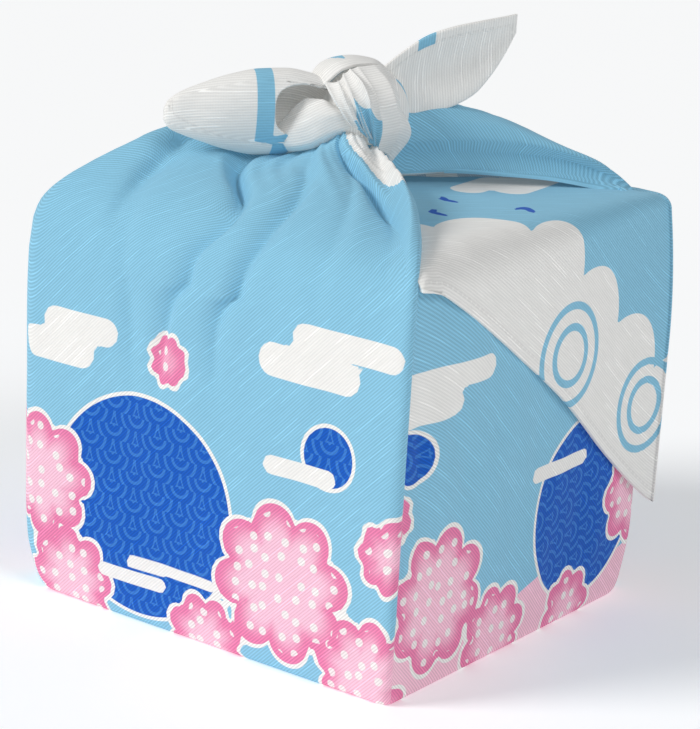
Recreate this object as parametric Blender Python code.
"""A square furoshiki cloth wrapped round a box-shaped bundle and knotted on top.

The front (-Y) and back (+Y) corners are gathered over the top and tied in a square knot. The left
(-X) corner lies over the top and hangs down the right (+X) side as a flap. Everything is one cloth,
so it is one hollow solid. Tables are in millimetres.
"""

import bmesh
import bpy
import numpy as np

for old in list(bpy.data.objects):
    bpy.data.objects.remove(old, do_unlink=True)

MM = 0.001
KNOT_AXIS = np.array([0.6, -0.37, 0.0])  # from the origin, which is the middle of the base
CLOTH = 1.6  # sheet thickness
HALF_LEFT, HALF_RIGHT, HALF_DEPTH = 65.6, 62.4, 61.8  # bundle's faces from the knot's axis
WALL_TOP = 98.0  # where the walls end and the shoulders begin
REACH = 54.0  # depth coordinate of the neck under the knot
STRAIGHT, ARC = 40.0, 5.0  # units of the round coordinate on half a face and half a corner
MOUTH_DEPTH = 40.0  # on the plain sides of the top the cloth ends here and leaves the mouth
SLOT_DEPTH = 40.0  # beside the knot the back gather's lip stands clear of the flap from here on
BULGE_HEIGHT = 112.0

#  upright edge, corner radius, what the foot adds to it
CORNERS = ((45, 5.0, 8.0), (135, 6.0, 8.0), (225, 4.5, 9.0), (315, 3.4, 0.8))
LEAST_RADIUS = 1.2
FOOT_FADE, PLEAT_RISE = 14.0, 14.0  # heights over which the corners tighten and the pleat grows
FACE_BULGE = (0.9, 1.2, 1.6, 1.6)  # +X, +Y, -X, -Y
#  round coordinate, how far the outer layer stands out there: the pleat at the near upright edge
PLEAT = (
    (215, 0.0), (222, 1.6), (232, 1.2), (250, 0.2), (296, 0.0), (304, 0.5), (310, 1.2),
    (314.2, 1.8), (315.6, 1.3), (316.8, -0.2), (319, -0.8), (324, -0.7), (332, -0.2), (342, 0.0),
)
#  height, how far the foot is drawn in: the rounded bottom edge
FOOT = ((0.0, 1.5), (0.5, 0.8), (1.6, 0.3), (4.0, 0.0))

#  valleys of the front gather: from depth, to depth, round coordinate at both ends and between
#  them, width in round units, depth of the valley
FOLDS = (
    (1.0, 35.0, 245.5, 241.0, 227.5, 3.4, 2.3),
    (-1.0, 32.0, 266.0, 267.5, 245.5, 3.2, 2.7),
    (3.0, 42.0, 282.5, 281.5, 275.0, 3.0, 2.4),
    (4.0, 34.0, 293.5, 294.0, 291.0, 2.6, 0.9),
)
DEPTHS = (0, 0.6, 2.2, 5, 10, 17, 25, 34, 44, 54)
ROWS = np.array((0, 0.6, 2.2, 5, 8, 11.5, 15, 19, 24, 29, 34, 39, 44, 49, 54), float)
#  depth, turn of the sheet there in degrees, its upright thickness
SHOULDER = (
    (0, 0, 1.6), (0.6, 18, 1.6), (2.2, 42, 1.6), (5, 66, 1.8), (10, 90, 2.0), (17, 90, 2.2),
)
#  round coordinate, neck x, neck y, then the height of the cloth at each depth
SECTIONS = (
    (-43.0, 10.6, -4.6, 98, 106.4, 111.8, 115.2, 116.8, 117.4, 117.8, 118.0, 118, 118),
    (0.0, 12.0, 0.0, 98, 106.4, 111.8, 115.2, 116.8, 117.4, 117.8, 118.0, 118, 118),
    (39.6, 10.6, 6.0, 98, 106.4, 111.8, 115.2, 116.8, 117.4, 117.8, 118.0, 118, 118),
    (41.4, 10.4, 6.4, 98, 106.4, 112.0, 116.0, 118.4, 119.8, 121.0, 121.6, 122, 122),
    (45.0, 10.0, 7.0, 98, 106.5, 112.4, 117.0, 120.6, 123.0, 124.6, 125.4, 126, 125),
    (47.0, 9.8, 7.4, 98, 106.5, 112.4, 116.8, 120.0, 122.0, 123.2, 123.6, 124, 124),
    (49.0, 9.4, 7.8, 98, 106.6, 112.8, 118.0, 122.8, 127.0, 130.0, 131.6, 132, 131),
    (52.5, 8.9, 8.2, 98, 106.8, 113.4, 119.0, 124.6, 129.6, 133.2, 135.8, 137, 135),
    (64.0, 7.0, 8.8, 98, 107.0, 114.0, 120.0, 125.8, 131.6, 136.4, 139.4, 141, 139),
    (90.0, 0.0, 9.5, 98, 107.0, 114.0, 120.2, 126.2, 131.8, 136.2, 139.2, 141, 140),
    (124.0, -8.0, 8.4, 98, 107.0, 113.8, 119.6, 125.4, 130.4, 134.4, 136.6, 137, 135),
    (132.0, -9.8, 7.0, 98, 106.8, 113.0, 117.8, 121.8, 125.0, 127.0, 128.0, 128, 126),
    (137.0, -10.6, 6.0, 98, 106.4, 111.8, 115.2, 116.8, 117.4, 117.8, 118.0, 118, 118),
    (180.0, -12.0, 0.0, 98, 106.4, 111.8, 115.2, 116.8, 117.4, 117.8, 118.0, 118, 118),
    (221.5, -10.6, -5.0, 98, 106.4, 111.8, 115.2, 116.8, 117.4, 117.8, 118.0, 118, 118),
    (226.0, -9.8, -6.0, 98, 105.6, 111.6, 116.6, 121.6, 126.2, 129.4, 131.0, 130, 128),
    (238.0, -7.0, -7.6, 98, 104.8, 110.4, 115.2, 119.8, 123.2, 124.6, 125.0, 126, 129),
    (258.0, -3.0, -8.8, 98, 104.5, 109.8, 114.4, 119.0, 122.6, 124.6, 126.4, 129, 134),
    (275.0, 1.2, -9.0, 98, 104.5, 109.8, 114.2, 118.6, 122.6, 126.0, 129.2, 133, 136),
    (296.0, 5.0, -7.6, 98, 104.5, 109.8, 114.2, 118.6, 122.8, 126.4, 129.6, 132, 135),
    (306.0, 7.0, -6.6, 98, 104.6, 109.8, 114.0, 117.6, 120.6, 123.4, 126.0, 129, 131),
    (311.6, 8.2, -5.8, 98, 106.0, 112.6, 117.8, 122.0, 125.2, 127.6, 129.4, 131, 132),
    (314.4, 9.2, -5.2, 98, 106.6, 113.2, 118.0, 121.4, 124.0, 126.0, 127.4, 128, 128),
    (317.0, 10.6, -4.6, 98, 106.4, 111.8, 115.2, 116.8, 117.4, 117.8, 118.0, 118, 118),
)
#  the front gather's right border bows towards +X+Y: round coordinate, share of the bow
BORDER_BOW = 4.5
BOW = ((-43, 1), (-30, 0.6), (0, 0), (262, 0), (298, 0.4), (312, 1), (317, 1))

#  flap: y along the top edge, height of its hem, how far it stands off the side, its face on top
#  and the radius where it turns down
FLAP = (
    (-58.6, 111.6, -0.2, 114.8, 3.0), (-56.4, 110.9, 0.8, 117.0, 5.0), (-51, 108.8, 1.1, 118.2, 8.0),
    (-41, 103.2, 1.4, 119.0, 11.0), (-33, 98.2, 1.6, 119.4, 11.0), (-16, 87.0, 2.0, 119.4, 9.6),
    (7, 70.8, 2.4, 119.4, 7.6), (37, 46.4, 2.9, 119.4, 5.6), (57, 31.2, 3.4, 118.6, 4.6),
    (62.6, 27.4, 3.9, 117.6, 4.2),
)
FLAP_SPREAD = 2.6  # near its far edge it hangs this much further out than it turns down
SPREAD_DROP = 36.0  # the height over which it does so
#  past the far upright edge: back from the flap's face, on along +Y, height of the hem
FLAP_RETURN = ((0.7, 2.0, 27.6), (2.8, 3.3, 30.5), (8.5, 3.5, 38.0))
FLAP_INNER = 13.5  # its inner end lies here, beside the knot

EAR_AZIMUTH = 232.0  # left ear's direction, anticlockwise from +X
#  left ear: distance from the knot's axis, lower and upper edge, half thickness of the pocket
LEFT_EAR = (
    (2.0, 133.0, 144.0, 5.0), (9.0, 131.0, 146.4, 6.0), (16.0, 128.6, 149.4, 7.0),
    (23.0, 127.0, 150.6, 7.2), (30.0, 126.8, 150.4, 6.6), (38.0, 128.0, 148.8, 5.0),
    (46.0, 130.6, 145.2, 3.6), (52.0, 133.0, 141.6, 2.6), (55.5, 135.0, 138.8, 1.5),
)
EAR_MOUTH = 27.0  # the pocket's mouth, facing the knot
MOUTH_SHIFT = 5.0  # short of the mouth the hollow is moved out through the ear's front
EAR_POINTS = 18
RIGHT_AZIMUTH = 55.0
#  right ear: distance from the knot's axis, lower and upper edge, sideways bend
RIGHT_EAR = (
    (3.0, 140.0, 149.5, 0.0), (10.0, 139.0, 155.4, 0.6), (17.0, 139.4, 160.0, 1.2),
    (24.0, 140.0, 162.4, 1.6), (31.0, 143.4, 163.8, 1.4), (36.0, 148.6, 164.6, 0.8),
    (40.0, 154.6, 165.2, 0.3), (43.0, 160.6, 165.8, 0.0),
)

KNOT_AT = (0.5, -0.5, 138.6)
KNOT_SIZE = (13.2, 12.2, 14.2)  # half sizes along the ears, across them and up
KNOT_TURN = 48.0  # direction of the ears' line
#  pleats of the wrap: place along the ears' line, width, depth
PLEATS = ((-7.6, 1.3, 1.5), (-3.2, 1.1, 1.3), (0.6, 1.1, 1.4), (4.4, 1.2, 1.0))


wrap_parts = bpy.data.collections.new("furoshiki wrap")
cutters = bpy.data.collections.new("pieces joined and cut")
for group in (wrap_parts, cutters):
    bpy.context.scene.collection.children.link(group)


def pchip(xs, ys, at):
    """Monotone cubic through the points (xs, ys), read at `at`; ys may hold several columns."""
    xs, ys, at = (np.asarray(v, float) for v in (xs, ys, at))
    if ys.ndim == 1:
        return pchip(xs, ys[:, None], at)[..., 0]
    step = np.diff(xs)[:, None]
    rise = np.diff(ys, axis=0) / step
    slope = np.zeros_like(ys)
    product = rise[:-1] * rise[1:]
    total = rise[:-1] + rise[1:]
    ok = product > 0
    slope[1:-1][ok] = 2 * product[ok] / total[ok]
    slope[0], slope[-1] = rise[0], rise[-1]
    i = np.clip(np.searchsorted(xs, at) - 1, 0, len(xs) - 2)
    t = ((at - xs[i]) / (xs[i + 1] - xs[i]))[..., None]
    h = step[i]
    return (
        (1 + 2 * t) * (1 - t) ** 2 * ys[i]
        + t * (1 - t) ** 2 * h * slope[i]
        + t * t * (3 - 2 * t) * ys[i + 1]
        + t * t * (t - 1) * h * slope[i + 1]
    )


def wrapped(angle):
    """The round coordinate between -43 and 317, where the section table begins and ends."""
    return np.mod(np.asarray(angle, float) + 43.0, 360.0) - 43.0


def column(table, index):
    return np.array([row[index] for row in table], float)


def sections(angle):
    """Neck point and heights at each round coordinate."""
    rows = np.array(SECTIONS, float)
    turn = np.zeros(rows.shape[1])
    turn[0] = 360.0
    rows = np.concatenate([rows[-5:-1] - turn, rows[:-1], rows[:4] + turn])
    return pchip(rows[:, 0], rows[:, 1:], wrapped(angle))


def outline(angle, height, inset=0.0, layered=True):
    """Plan point of the wall's face at a round coordinate and height, and its outward normal.

    The plan is a rectangle with rounded corners. Each face swells by bulge * (1 - u^4), the corner
    radius grows towards the foot, and the pleat table adds the layers at the upright edges.
    """
    angle, height, inset = np.broadcast_arrays(*(np.asarray(v, float) for v in (angle, height, inset)))
    around = np.mod(angle + 45.0, 360.0) - 45.0
    side = np.round(around / 90.0).astype(int)
    u = around - 90.0 * side
    side = side % 4
    faces = np.array([HALF_RIGHT, HALF_DEPTH, HALF_LEFT, HALF_DEPTH])
    away = faces[side] - inset
    half = np.where(u < 0, faces[(side + 3) % 4], faces[(side + 1) % 4]) - inset
    corner = np.where(u < 0, (side + 3) % 4, side)
    radius = np.maximum(column(CORNERS, 1)[corner] - inset, LEAST_RADIUS)
    radius = radius + column(CORNERS, 2)[corner] * np.exp(-height / FOOT_FADE)
    along = np.sign(u) * np.clip(np.abs(u) / STRAIGHT, 0, 1) * (half - radius)
    bend = np.clip((np.abs(u) - STRAIGHT) / ARC, 0, 1) * np.pi / 4 * np.sign(u)
    turn = np.pi / 2 * side
    out = np.stack([np.cos(turn), np.sin(turn)], -1)
    left = np.stack([-np.sin(turn), np.cos(turn)], -1)
    normal = np.cos(bend)[..., None] * out + np.sin(bend)[..., None] * left
    point = out * (away - radius)[..., None] + left * along[..., None] + normal * radius[..., None]
    swell = np.array(FACE_BULGE)[side] * (1 - np.clip(np.abs(u) / 45, 0, 1) ** 4)
    swell = swell * np.sin(np.pi * np.clip(height / BULGE_HEIGHT, 0, 1)) ** 0.7
    if layered:
        pleat = pchip(np.r_[0, column(PLEAT, 0), 360], np.r_[0, column(PLEAT, 1), 0], angle % 360)
        swell = swell + pleat * np.clip(height / PLEAT_RISE, 0, 1)
    return point + normal * swell[..., None], normal


def wall(angle, heights, inset=0.0):
    """The upright walls, drawn in at the foot; inset 0 is the face and CLOTH is the inside."""
    a, z = np.meshgrid(np.asarray(angle, float), np.asarray(heights, float), indexing="ij")
    foot = np.interp(z, column(FOOT, 0), column(FOOT, 1))
    point, _ = outline(a, z, foot + inset, inset == 0.0)
    return np.concatenate([point, z[..., None]], -1)


def valleys(angle, depths):
    """How far the front gather's face sinks: a Gauss valley along each fold's curved line."""
    a, d = np.meshgrid(np.asarray(angle, float) % 360, depths, indexing="ij")
    sunk = np.zeros_like(a)
    for low, high, first, middle, last, width, deep in FOLDS:
        t = np.clip((d - low) / (high - low), 0, 1)
        line = first * (1 - t) * (1 - 2 * t) + 4 * middle * t * (1 - t) + last * t * (2 * t - 1)
        sunk += deep * np.sin(np.pi * t) ** 0.8 * np.exp(-(((a - line) / width) ** 2))
    return sunk


def top(angle, depths):
    """Shoulders, gathers and top: the face and the inside, in columns from the wall to the neck."""
    angle, depths = np.asarray(angle, float), np.asarray(depths, float)
    rows = sections(angle)
    edge, normal = outline(angle, np.full_like(angle, WALL_TOP))
    height = np.stack([pchip(DEPTHS, row[2:], depths) for row in rows])
    share = (depths / REACH)[None, :, None]
    plan = edge[:, None] + (rows[:, None, :2] - edge[:, None]) * share
    bow = BORDER_BOW * pchip(column(BOW, 0), column(BOW, 1), wrapped(angle))
    bow = bow[:, None] * np.sin(np.pi * depths / REACH)[None]
    plan = plan + bow[..., None] * np.array([0.72, 0.69])
    tilt = np.radians(np.interp(depths, column(SHOULDER, 0), column(SHOULDER, 1)))
    sheet = np.interp(depths, column(SHOULDER, 0), column(SHOULDER, 2))
    level = normal[:, None] * np.cos(tilt)[None, :, None]
    drop = np.broadcast_to(np.sin(tilt)[None, :, None], level.shape[:2] + (1,))
    face = np.concatenate([plan, height[..., None]], -1)
    face = face - valleys(angle, depths)[..., None] * np.concatenate([level, drop], -1)
    return face, face - np.concatenate([level * CLOTH, drop * sheet[None, :, None]], -1)


def grid_quads(columns, rows, closed=False):
    """Quads of a grid of columns by rows, facing out where columns run anticlockwise and rows up."""
    last = columns if closed else columns - 1
    i, j = np.meshgrid(np.arange(last), np.arange(rows - 1), indexing="ij")
    i, j = i.ravel(), j.ravel()
    k = (i + 1) % columns
    return np.stack([i * rows + j, k * rows + j, k * rows + j + 1, i * rows + j + 1], 1)


def thick(points, quads, back, cap=None):
    """A sheet made a closed solid: the face, its back and a rim on every open edge.

    back holds the point behind each point. cap is a ring that one flat face closes on either side.
    """
    used, quads = np.unique(quads, return_inverse=True)
    quads = quads.reshape(-1, 4)
    count = len(used)
    faces = [tuple(q) for q in quads]
    if cap is not None:
        faces.append(tuple(np.searchsorted(used, cap)))
    edges = {(f[k], f[(k + 1) % len(f)]) for f in faces for k in range(len(f))}
    rim = [(b, a, a + count, b + count) for a, b in sorted(edges) if (b, a) not in edges]
    faces += [tuple(n + count for n in f[::-1]) for f in faces] + rim
    return np.concatenate([points[used], back[used]]), faces


def solid(name, points, faces, material):
    """A mesh object from millimetre points about the knot's axis, with its normals pointing out."""
    mesh = bpy.data.meshes.new(name)
    placed = (points + KNOT_AXIS) * MM
    mesh.from_pydata([tuple(p) for p in placed], [], [tuple(map(int, f)) for f in faces])
    made = bpy.data.objects.new(name, mesh)
    wrap_parts.objects.link(made)
    mesh.materials.append(material)
    shell = bmesh.new()
    shell.from_mesh(mesh)
    bmesh.ops.triangulate(shell, faces=shell.faces[:])
    bmesh.ops.recalc_face_normals(shell, faces=shell.faces[:])
    shell.to_mesh(mesh)
    shell.free()
    return made


def join(target, other, operation):
    """The other solid added to the target or cut from it."""
    step = target.modifiers.new(other.name, "BOOLEAN")
    step.operation = operation
    step.solver = "EXACT"
    step.object = other
    other.hide_render = True
    other.display_type = "WIRE"
    wrap_parts.objects.unlink(other)
    cutters.objects.link(other)


def body(material):
    """Base, walls, shoulders and gathers, open at the neck and on the plain sides of the top."""
    columns = np.unique(
        np.r_[
            np.linspace(-38, 36, 9), 39.6, 41.4, 43.2, 45, 46, 47, 48, 49, 50.6, 52.5, 57, 64, 76, 90, 104,
            116, 124, 128, 132, 134.4, 137, 140, np.linspace(150, 210, 5), 218, 221.5, 223.8, 226,
            229, 232, 235, np.linspace(238, 302, 28), 306, 309, 311.6, 313, 314.4, 315.8, 317,
        ]
    )
    heights = (0.0, 0.5, 1.6, 4.0, 9.0, 20.0, 38.0, 56.0, 74.0, 90.0)
    floor = np.maximum(heights, CLOTH + np.array(heights) * 0.5)
    crown, under = top(columns, ROWS)
    face = np.concatenate([wall(columns, heights), crown], 1)
    back = wall(columns, heights, CLOTH)
    back[..., 2] = np.where(np.array(heights) < 4, floor, heights)
    back = np.concatenate([back, under], 1)
    rows, count = face.shape[1], len(columns)
    quads = grid_quads(count, rows, closed=True)
    depth_at = np.r_[np.full(len(heights), -1.0), ROWS]
    plain = (columns < 39) | ((columns > 138) & (columns < 221))
    limit = np.where(plain, MOUTH_DEPTH, np.where((columns >= 39) & (columns < 44), SLOT_DEPTH, REACH))
    keep = depth_at[quads[:, 2] % rows] <= limit[quads[:, 0] // rows]
    quads = [quads[keep]]
    # the base: rings that shrink towards the middle, where one flat face closes it
    outer, start = np.arange(count) * rows, count * rows
    points, behind = [face.reshape(-1, 3)], [back.reshape(-1, 3)]
    for share in (0.8, 0.4):
        inner = start + np.arange(count)
        points.append(face[:, 0] * share)
        behind.append(back[:, 0] * np.array([share, share, 1.0]))
        quads.append(np.stack([inner, np.roll(inner, -1), np.roll(outer, -1), outer], 1))
        outer, start = inner, start + count
    quads = np.concatenate(quads)
    points, faces = thick(np.concatenate(points), quads, np.concatenate(behind), outer[::-1])
    return solid("furoshiki_cloth", points, faces, material)


def flap(material):
    """The left corner of the cloth: over the top, down the right side and round its far edge."""
    along = np.sort(np.r_[column(FLAP, 0), -46, -25, -5, 18, 28, 47, 60])
    face = HALF_RIGHT + pchip(column(FLAP, 0), column(FLAP, 2), along)
    crest = pchip(column(FLAP, 0), column(FLAP, 3), along)
    inner = np.maximum(FLAP_INNER, np.where(along < 0, -1.06 * along - 5.0, 0.9 * along - 3.0))
    start = np.stack([inner, along - 0.2 * np.maximum(along - 40.0, 0)], 1)
    end = np.stack([face, along], 1)
    hem = pchip(column(FLAP, 0), column(FLAP, 1), along)
    # past the far upright edge the flap turns back along the +Y face
    turned = np.array(FLAP_RETURN)
    start = np.concatenate([start, start[-1] + turned[:, :1] * np.array([-0.9, 0.3])])
    end = np.concatenate([end, end[-1] + turned[:, :2] * np.array([-1.0, 1.0])])
    hem, crest = np.r_[hem, turned[:, 2]], np.r_[crest, np.full(len(turned), crest[-1])]
    radius = pchip(column(FLAP, 0), column(FLAP, 4), along)
    radius = np.r_[radius, np.full(len(turned), radius[-1])][:, None]
    loose = FLAP_SPREAD * np.clip(np.r_[along / 60.0, np.ones(len(turned))], 0, 1) ** 3
    end = end - loose[:, None] * np.where(end[:, 1:] > 63.0, [0.7, 0.9], [1.0, 0.6])
    reach = end - start
    span = np.linalg.norm(reach, axis=1)[:, None]
    bend = np.linspace(0, np.pi / 2, 5)
    drop = np.linspace(0, 1, 9)[1:]
    flat = (span - radius) * np.linspace(0, 1, 7)[:-1]
    out = np.concatenate([flat, span - radius * (1 - np.sin(bend)), span + 0 * drop], 1)
    height = crest[:, None] - np.concatenate([0 * flat, radius * (1 - np.cos(bend))], 1)
    low = height[:, -1:] + (hem[:, None] - height[:, -1:]) * drop
    height = np.concatenate([height, low], 1)
    hang = np.clip((height[:, 10:11] - height) / SPREAD_DROP, 0, 1)
    out = out + loose[:, None] * hang * (2 - hang)
    plan = start[:, None] + (reach / span)[:, None] * out[..., None]
    grid = np.concatenate([plan, height[..., None]], -1)
    tilt = np.r_[np.zeros(6), bend, np.full(len(drop), np.pi / 2)]
    level = (reach / span)[:, None] * np.sin(tilt)[None, :, None]
    lift = np.broadcast_to(np.cos(tilt)[None, :, None], level.shape[:2] + (1,))
    back = grid - CLOTH * np.concatenate([level, lift], -1)
    quads = grid_quads(*grid.shape[:2])
    points, faces = thick(grid.reshape(-1, 3), quads, back.reshape(-1, 3))
    return solid("flap", points, faces, material)


def closed_loft(name, rings, material):
    """A closed solid through rings of points, with a flat face at either end."""
    rows, count = rings.shape[:2]
    points = rings.transpose(1, 0, 2).reshape(-1, 3)
    first = np.arange(count) * rows
    faces = [tuple(q) for q in grid_quads(count, rows, closed=True)]
    faces += [tuple(first[::-1]), tuple(first + rows - 1)]
    return solid(name, points, faces, material)


def knot(material):
    """The tied knot: a packed lump whose wrap has pleats that run over it."""
    turn = np.radians(KNOT_TURN)
    ears = np.array([np.cos(turn), np.sin(turn), 0.0])
    across = np.array([-np.sin(turn), np.cos(turn), 0.0])
    up = np.array([0.0, 0.0, 1.0])
    share = np.r_[-0.96, -0.84, -0.68, np.linspace(-0.52, 0.52, 11), 0.68, 0.84, 0.96]
    phi = np.linspace(0, 2 * np.pi, 22, endpoint=False)
    rings = []
    for s in share:
        radius = np.sqrt(1 - abs(s) ** 2.4)
        place = s * KNOT_SIZE[0]
        groove = sum(deep * np.exp(-(((place - at) / wide) ** 2)) for at, wide, deep in PLEATS)
        groove = groove * (0.5 + 0.5 * np.sin(phi + 0.4))
        ring = (
            np.array(KNOT_AT)
            + (place + 2.0 * np.sin(phi))[:, None] * ears
            - ((radius * KNOT_SIZE[1] - groove) * np.cos(phi))[:, None] * across
            + ((radius * KNOT_SIZE[2] - groove) * np.sin(phi))[:, None] * up
        )
        rings.append(ring)
    return closed_loft("knot", np.array(rings), material)


def ear_ring(at, grow=0.0, shift=0.0):
    """One ring of the left ear: an ellipse between its lower and upper edge."""
    low, high, half = (pchip(column(LEFT_EAR, 0), column(LEFT_EAR, k), at) for k in (1, 2, 3))
    turn = np.radians(EAR_AZIMUTH)
    ahead = np.array([np.cos(turn), np.sin(turn), 0.0])
    side = np.array([-np.sin(turn), np.cos(turn), 0.0])
    phi = np.linspace(0, 2 * np.pi, EAR_POINTS, endpoint=False)
    rise = np.sin(phi) * ((high - low) / 2 + grow)
    out = np.cos(phi) * (half + grow) + shift
    centre = np.array([0.0, 0.0, (low + high) / 2]) + ahead * at
    return centre + out[:, None] * side + rise[:, None] * np.array([0.0, 0.0, 1.0])


def left_ear(material):
    """A rolled pocket with its mouth towards the knot, hollow up to near its tip."""
    places = (2.0, 9.0, 16.0, 23.0, 27.0, 30.0, 38.0, 46.0, 52.0, 55.5)
    made = closed_loft("left_ear", np.array([ear_ring(at) for at in places]), material)
    rings = [ear_ring(at, -CLOTH, MOUTH_SHIFT) for at in (9.0, 14.0, 20.0, EAR_MOUTH - 0.5)]
    rings += [ear_ring(at, -CLOTH) for at in (EAR_MOUTH + 1.0, 32.0, 39.0, 45.0)]
    join(made, closed_loft("ear_hollow", np.array(rings), material), "DIFFERENCE")
    return made


def right_ear(material):
    """A leaf of cloth that stands up behind the knot, a little hollow towards the front."""
    turn = np.radians(RIGHT_AZIMUTH)
    ahead = np.array([np.cos(turn), np.sin(turn), 0.0])
    side = np.array([np.sin(turn), -np.cos(turn), 0.0])
    places = np.array([3.0, 8.0, 13.0, 18.0, 23.0, 28.0, 33.0, 37.0, 40.5, 43.0])
    low, high, bend = (pchip(column(RIGHT_EAR, 0), column(RIGHT_EAR, k), places) for k in (1, 2, 3))
    share = np.linspace(0, 1, 9)
    height = low[:, None] + (high - low)[:, None] * share
    out = bend[:, None] * np.cos(2 * np.pi * share)
    grid = places[:, None, None] * ahead + out[..., None] * side
    grid = grid + height[..., None] * np.array([0.0, 0.0, 1.0])
    grid = grid.reshape(-1, 3)
    points, faces = thick(grid, grid_quads(len(places), len(share)), grid - side * CLOTH)
    return solid("right_ear", points, faces, material)


cloth = bpy.data.materials.new("printed slub cloth")
cloth.use_nodes = True
look = cloth.node_tree.nodes["Principled BSDF"]
look.inputs["Base Color"].default_value = (0.36, 0.66, 0.84, 1.0)
look.inputs["Roughness"].default_value = 0.85
look.inputs["Metallic"].default_value = 0.0

wrap = body(cloth)
for piece in (flap(cloth), knot(cloth), left_ear(cloth), right_ear(cloth)):
    join(wrap, piece, "UNION")
for polygon in wrap.data.polygons:
    polygon.use_smooth = True
